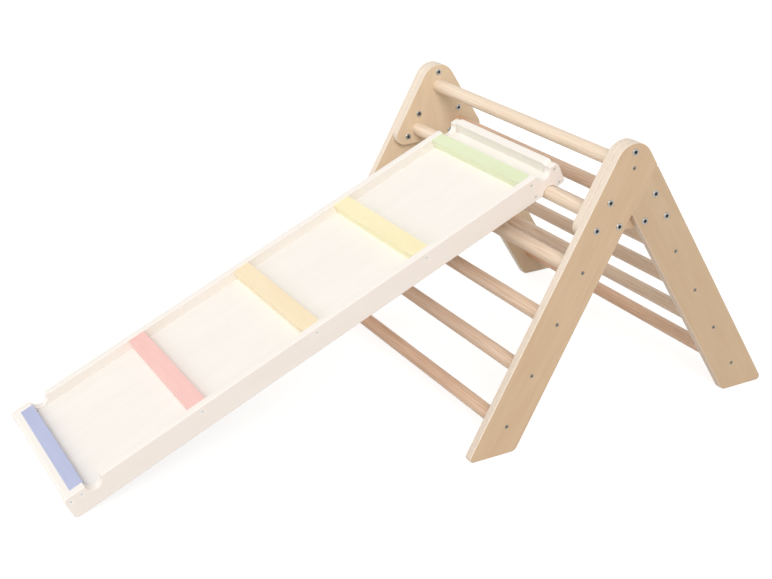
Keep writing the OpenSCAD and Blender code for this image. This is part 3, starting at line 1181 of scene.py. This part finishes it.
@dataclass(frozen=True)
class RungSet:
    """The eleven round rungs, all cut from the same bar.

    Each has its own share of brown, part wood tone and part painted shade, which thins out towards the near
    end, clear of the ramp's shadow.
    """

    panel: SidePanel
    radius: float = 14.5
    chamfer: float = 0.7
    segments: int = 64
    # part painted shade: the lit top and front gusset rungs stay pale, and the lowest rungs, deep under the
    # ramp, are the most brown
    brownness_and_shade: tuple[float, ...] = (0.0, 0.0, 0.5, 0.15, 0.2, 0.45, 0.2, 0.5, 0.15, 1.0, 0.8)
    shade_towards_far_end: float = 0.5

    def build(self, finishes: Finishes) -> None:
        """Builds and dresses every rung.

        Args:
            finishes: the materials.
        """
        panel = self.panel
        front, back = panel.gusset_rungs()
        rungs = [("top_rung", panel.on_leg(0), panel.side_t), ("front_gusset_rung", front, panel.side_t),
                 ("back_gusset_rung", back, panel.side_t)]
        for i, (x, z) in enumerate(panel.leg_rungs(), 1):
            rungs.append((f"front_rung_{i}", (x, z), panel.leg_t))
            rungs.append((f"back_rung_{i}", (-x, z), panel.leg_t))
        for index, (node, axis, inset) in enumerate(rungs):
            piece = self._rung(f"{node}_bar", axis, panel.half_width - inset, index)
            dress(piece, "frame", node, finishes.rung)

    def _rung(self, name: str, axis: Point, half: float, index: int) -> Piece:
        """One rung, whose growth rings have their middle outside it.

        Args:
            name: the piece's name.
            axis: its axis, as x and height.
            half: half its length.
            index: its number, which turns its figure.

        Returns:
            The rung.
        """
        ends = ((-half, self.radius - self.chamfer), (-half + self.chamfer, self.radius),
                (half - self.chamfer, self.radius), (half, self.radius - self.chamfer))
        middle = Vector((self.panel.shift + axis[0], 0, axis[1]))
        bm = bmesh.new()
        Turned(tuple(Ring(r, y) for y, r in ends), self.segments).add_to(bm, Place(middle, X, Z, Y))
        piece = finish_mesh(bm, name)
        turn, away = 1.9 * index, 24.0 + 7.0 * (index % 4)
        pith = Vector((520.0 * index, away * math.cos(turn), away * math.sin(turn)))
        store_grain(piece, Place(middle, Y, X, Z), pith)
        # painted shade: more brown from the near end towards the far end, under the ramp
        shares = [1 + self.shade_towards_far_end * vertex.co.y / MM / half for vertex in piece.data.vertices]
        store(piece, "shade", [Vector((min(1.0, self.brownness_and_shade[index] * share), 0, 0)) for share in shares])
        return piece


@dataclass(frozen=True)
class Ramp:
    """The hooked ramp: two rails, a panel between them and the cross pieces on it.

    Its own axes are s along the rails from the foot, n up from their lower edge, and y.
    """

    rung_x: float
    rung_z: float
    width: float = 376.0
    reach: float = 1075.0
    hook_reach: float = 38.0
    rail_t: float = 18.0
    rail_h: float = 46.0
    foot_r: float = 8.0
    hook_top_r: float = 9.0
    hook_tip_r: float = 7.0
    hook_lift: float = 3.1
    notch_r: float = 16.5
    rung_r: float = 14.5
    rung_gap: float = 0.3
    foot_notch_s: float = 60.4
    panel_t: float = 9.0
    panel_top: float = 26.0
    groove_d: float = 4.0
    end_setback: float = 1.5
    end_bar_w: float = 17.0
    narrow_w: float = 27.0
    wide_w: float = 36.0
    cleat_t: float = 19.0
    cleat_start: float = 285.5
    head_back: float = 32.0
    batten_h: float = 17.0
    lip_t: float = 18.0
    lip_h: float = 50.0
    lip_setback: float = 3.0
    lip_r: float = 8.0
    lip_screws: tuple[float, float] = (6.0, 37.0)
    screw: Screw = Screw(4.0, 2.2, 26.0)
    arris: float = 1.6
    cleat_arris: float = 1.2
    panel_arris: float = 0.4

    @property
    def tilt(self) -> float:
        """The slope, in radians, with the rounded foot on the floor."""
        x, z = self.reach - self.foot_r, self.hook_lift + self.foot_r
        return math.asin((self.rung_z - self.foot_r) / math.hypot(x, z)) + math.atan2(z, x)

    @property
    def lip_s(self) -> float:
        """Where the lip board starts."""
        return self.reach + self.hook_reach - self.lip_setback - self.lip_t

    @property
    def inner(self) -> float:
        """Half the width between the rails."""
        return self.width / 2 - self.rail_t

    def spot(self, s: float, n: float) -> Vector:
        """A point of the ramp's middle plane."""
        run, up = self.axes()
        return Vector((self.rung_x, 0, self.rung_z)) + run * (s - self.reach) + up * (n + self.hook_lift)

    def axes(self) -> tuple[Vector, Vector]:
        """The directions of s and n."""
        c, s = math.cos(self.tilt), math.sin(self.tilt)
        return Vector((c, 0, s)), Vector((-s, 0, c))

    def side_place(self, side: Side) -> Place:
        """A rail's axes, with depth counted from its outer face."""
        return Place(self.spot(0, 0) + side.value * self.width / 2 * Y, *self.axes(), -side.value * Y)

    def cross_place(self, s: float, n: float) -> Place:
        """A cross piece's axes: y, s and downwards from its upper face at a height n."""
        run, up = self.axes()
        return Place(self.spot(s, n), Y, run, -up)

    def cleat_mids(self) -> list[float]:
        """The middles of the cleats above the blue one, from the red one up."""
        pitch = (self.reach - self.head_back - self.cleat_start) / 3
        return [self.cleat_start + i * pitch for i in range(4)]

    def foot_mids(self) -> list[float]:
        """The middles of the end bar and the blue cleat."""
        return [self.end_setback + self.end_bar_w / 2, self.end_setback + self.end_bar_w + self.narrow_w / 2]

    def screw_places(self) -> list[Point]:
        """The nine screws of a rail: bar and cleats, batten and lip board.

        Returns:
            Their places.
        """
        cross = [(s, self.panel_top + self.cleat_t / 2) for s in (*self.foot_mids(), *self.cleat_mids())]
        lip = [(self.lip_s + self.lip_t / 2, n) for n in self.lip_screws]
        return [*cross, (self.cleat_mids()[-1], self.batten_h / 2), *lip]

    def rail(self, side: Side) -> Board:
        """A rail with its hook below and its notches above.

        Args:
            side: where it stands.

        Returns:
            The rail.
        """
        hook = -self.hook_lift - (self.notch_r - self.rung_r - self.rung_gap)
        middles = ((self.reach, hook), (self.reach, self.rail_h), (self.foot_notch_s, self.rail_h))
        outline = oblong(0, self.reach + self.hook_reach, self.rail_h,
                         [self.foot_r, self.hook_tip_r, self.hook_top_r, self.foot_r],
                         [(middle, self.notch_r) for middle in middles])
        place = self.side_place(side)
        return Board(f"ramp_rail_{side.word}", outline, self.rail_t, place, place,
                     (1500.0, 200.0 * side.value), self.arris, self.screw.holes(self.screw_places()))

    def panel(self) -> Board:
        """The board in the rails' grooves, with its grain along the ramp.

        Returns:
            The panel.
        """
        half = self.inner + self.groove_d
        place = self.cross_place(self.end_setback, self.panel_top)
        return Board("ramp_panel", oblong(-half, half, self.lip_s - self.end_setback), self.panel_t,
                     place, place.turned(math.radians(90)), (900.0, 40.0), self.panel_arris)

    def lip(self) -> Board:
        """The board across the head, with its upper corners rounded.

        Returns:
            The lip board.
        """
        run, up = self.axes()
        place = Place(self.spot(self.lip_s, 0), Y, up, run)
        outline = oblong(-self.inner, self.inner, self.lip_h, [0.0, 0.0, self.lip_r, self.lip_r])
        return Board("ramp_lip_board", outline, self.lip_t, place, place, (2500.0, 60.0), self.arris)

    def bar(self, node: str, mid: float, width: float, top: float, depth: float, index: int,
            rounding: float = 0.0) -> Board:
        """A cross piece between the rails, drawn by its end, with its grain along y.

        Args:
            node: the node that it stands for.
            mid: the middle of its width, along the rails.
            width: its width.
            top: the height of its upper face.
            depth: its thickness.
            index: its number, which moves its figure.
            rounding: the radius of its upper corner towards the foot.

        Returns:
            The cross piece.
        """
        place = Place(self.spot(mid - width / 2, top - depth) + self.inner * Y, *self.axes(), -Y)
        return Board(node, oblong(0, width, depth, [0.0, 0.0, 0.0, rounding]), 2 * self.inner, place,
                     self.cross_place(mid, top), (700.0 * index, 45.0 * index), self.cleat_arris)

    def build(self, finishes: Finishes) -> None:
        """Builds and dresses all the pieces of the ramp.

        Args:
            finishes: the materials.
        """
        for side in Side:
            self.rail(side).dressed("ramp", Slot.LIMED, finishes.rail[side])
        self.panel().dressed("ramp", Slot.LIMED, finishes.limed_thin)
        top, depth = self.panel_top + self.cleat_t, self.cleat_t
        bar_mid, blue_mid = self.foot_mids()
        rounding = self.foot_r - self.end_setback
        end_bar = self.bar("ramp_end_bar", bar_mid, self.end_bar_w, top, depth, 0, rounding)
        end_bar.dressed("ramp", Slot.LIMED, finishes.limed_bar)
        mids = (blue_mid, *self.cleat_mids())
        widths = (self.narrow_w, self.wide_w, self.wide_w, self.wide_w, self.narrow_w)
        for index, (slot, mid, width) in enumerate(zip(STAINS, mids, widths), 1):
            cleat = self.bar(f"{slot.word}_cleat", mid, width, top, depth, index)
            cleat.dressed("ramp", slot, finishes.stained[slot])
        batten = self.bar("ramp_batten", mids[-1], self.narrow_w, self.batten_h, self.batten_h, 8)
        for board in (batten, self.lip()):
            board.dressed("ramp", Slot.LIMED, finishes.limed_bar)
        form = self.screw.form(self.rail_t)
        for side in Side:
            node, place = f"ramp_screws_{side.word}", self.side_place(side)
            piece = fastener_set(f"{node}_set", [(form, place.seat(p)) for p in self.screw_places()])
            dress(piece, "ramp", node, finishes.ramp_screw)


# ---- studio ----


@dataclass(frozen=True)
class Sun:
    """A soft sun. Its angles are in degrees: its turn from the near side towards the ramp's foot,
    and its height above the floor.
    """

    name: str
    strength: float
    colour: Colour
    softness: float
    turn: float
    height: float

    def build(self) -> None:
        """Makes the lamp."""
        data = bpy.data.lights.new(self.name, "SUN")
        data.energy = self.strength
        data.color = self.colour
        data.angle = math.radians(self.softness)
        lamp = linked(self.name, data)
        lamp.rotation_euler = (math.radians(90.0 - self.height), 0.0, math.radians(-self.turn))


@dataclass(frozen=True)
class Studio:
    """The pale floor, the soft light and the camera at the photograph's angle."""

    camera_at: Triple = (-1.15344, -2.29620, 1.29548)
    camera_right: Triple = (0.88350, -0.46785, -0.02346)
    camera_ahead: Triple = (0.42346, 0.81908, -0.38702)
    focal_px: float = 1384.26
    sensor_mm: float = 36.0
    world_light: float = 0.515
    world_tone: Colour = (1.0, 0.95, 0.885)
    white: Colour = (1.0, 1.0, 1.0)
    floor_size: float = 12.0
    floor_drop: float = 0.0005
    floor_tone: Colour = (0.57, 0.53, 0.49)
    floor_shown: Colour = (0.42, 0.42, 0.42)
    floor_glow: float = 0.78
    suns: tuple[Sun, ...] = (
        Sun("side_sun", 1.58, (0.98, 0.99, 1.0), 125.0, 95.0, 13.0),
        Sun("front_sun", 1.40, (0.97, 1.0, 1.045), 26.0, 23.0, 32.0),
    )

    def build(self) -> None:
        """Makes the camera, the floor, the world and the lamps."""
        self._camera()
        self._floor()
        self._world()
        for sun in self.suns:
            sun.build()
        bpy.context.scene.view_settings.view_transform = "Standard"

    def _camera(self) -> None:
        """Sets the camera where the photograph was taken from."""
        data = bpy.data.cameras.new("camera")
        data.sensor_width = self.sensor_mm
        data.lens = self.focal_px / PHOTO_WIDTH * self.sensor_mm
        data.clip_start, data.clip_end = 0.05, 50.0
        camera = linked("camera", data)
        back, right = -unit(Vector(self.camera_ahead)), unit(Vector(self.camera_right))
        turn = Matrix((right, unit(back.cross(right)), back)).transposed().to_4x4()
        camera.matrix_world = Matrix.Translation(self.camera_at) @ turn
        bpy.context.scene.camera = camera

    def _seen(self, book: Shader) -> Value:
        """1 for rays from the camera, a mirror or through glass.

        Args:
            book: the shader that needs it.

        Returns:
            1 or 0.
        """
        path = book.node("ShaderNodeLightPath")
        seen = Value(book, path.outputs["Is Camera Ray"])
        for name in ("Is Glossy Ray", "Is Transmission Ray"):
            seen = seen.math("MAXIMUM", Value(book, path.outputs[name]))
        return seen

    def _floor(self) -> None:
        """A wide pale floor that shows faint shadows on white."""
        bm = bmesh.new()
        bmesh.ops.create_grid(bm, x_segments=1, y_segments=1, size=self.floor_size)
        mesh = bpy.data.meshes.new("floor")
        bm.to_mesh(mesh)
        bm.free()
        floor = linked("floor", mesh)
        floor.location.z = -self.floor_drop
        book = Shader.of_material("floor_white")
        base = book.node("ShaderNodeBsdfDiffuse", None, {"Color": self.floor_tone})
        shown = book.node("ShaderNodeBsdfDiffuse", None, {"Color": self.floor_shown})
        glow = book.node("ShaderNodeEmission", None, {"Color": self.white, "Strength": self.floor_glow})
        added = book.node("ShaderNodeAddShader", None, {0: shown.outputs[0], 1: glow.outputs[0]})
        mix = book.node("ShaderNodeMixShader", None,
                        {0: self._seen(book), 1: base.outputs[0], 2: added.outputs[0]})
        book.node("ShaderNodeOutputMaterial", None, {"Surface": mix.outputs[0]})
        mesh.materials.append(book.holder)

    def _world(self) -> None:
        """Even light from all round, white where the camera sees it."""
        world = bpy.data.worlds.new("world")
        bpy.context.scene.world = world
        book = Shader(world)
        seen = self._seen(book)
        tone = book.mixed(seen, self.world_tone, self.white)
        strength = seen * (1.0 - self.world_light) + self.world_light
        background = book.node("ShaderNodeBackground", None, {"Color": tone, "Strength": strength})
        book.node("ShaderNodeOutputWorld", None, {"Surface": background.outputs[0]})


def main() -> None:
    """Builds the studio, the frame and the ramp."""
    logging.basicConfig(level=logging.INFO, format="%(name)s: %(message)s")
    Studio().build()
    finishes = Finishes()
    hinge = Vector(frame["joints"][0]["pos_m"]) / MM
    plain = SidePanel(Side.LEFT, 0.0)
    shift = hinge.x - plain.on_leg(plain.pitch)[0]
    for side in Side:
        SidePanel(side, shift).build(finishes)
    RungSet(SidePanel(Side.LEFT, shift)).build(finishes)
    Ramp(hinge.x, hinge.z).build(finishes)


if __name__ == "__main__":
    main()
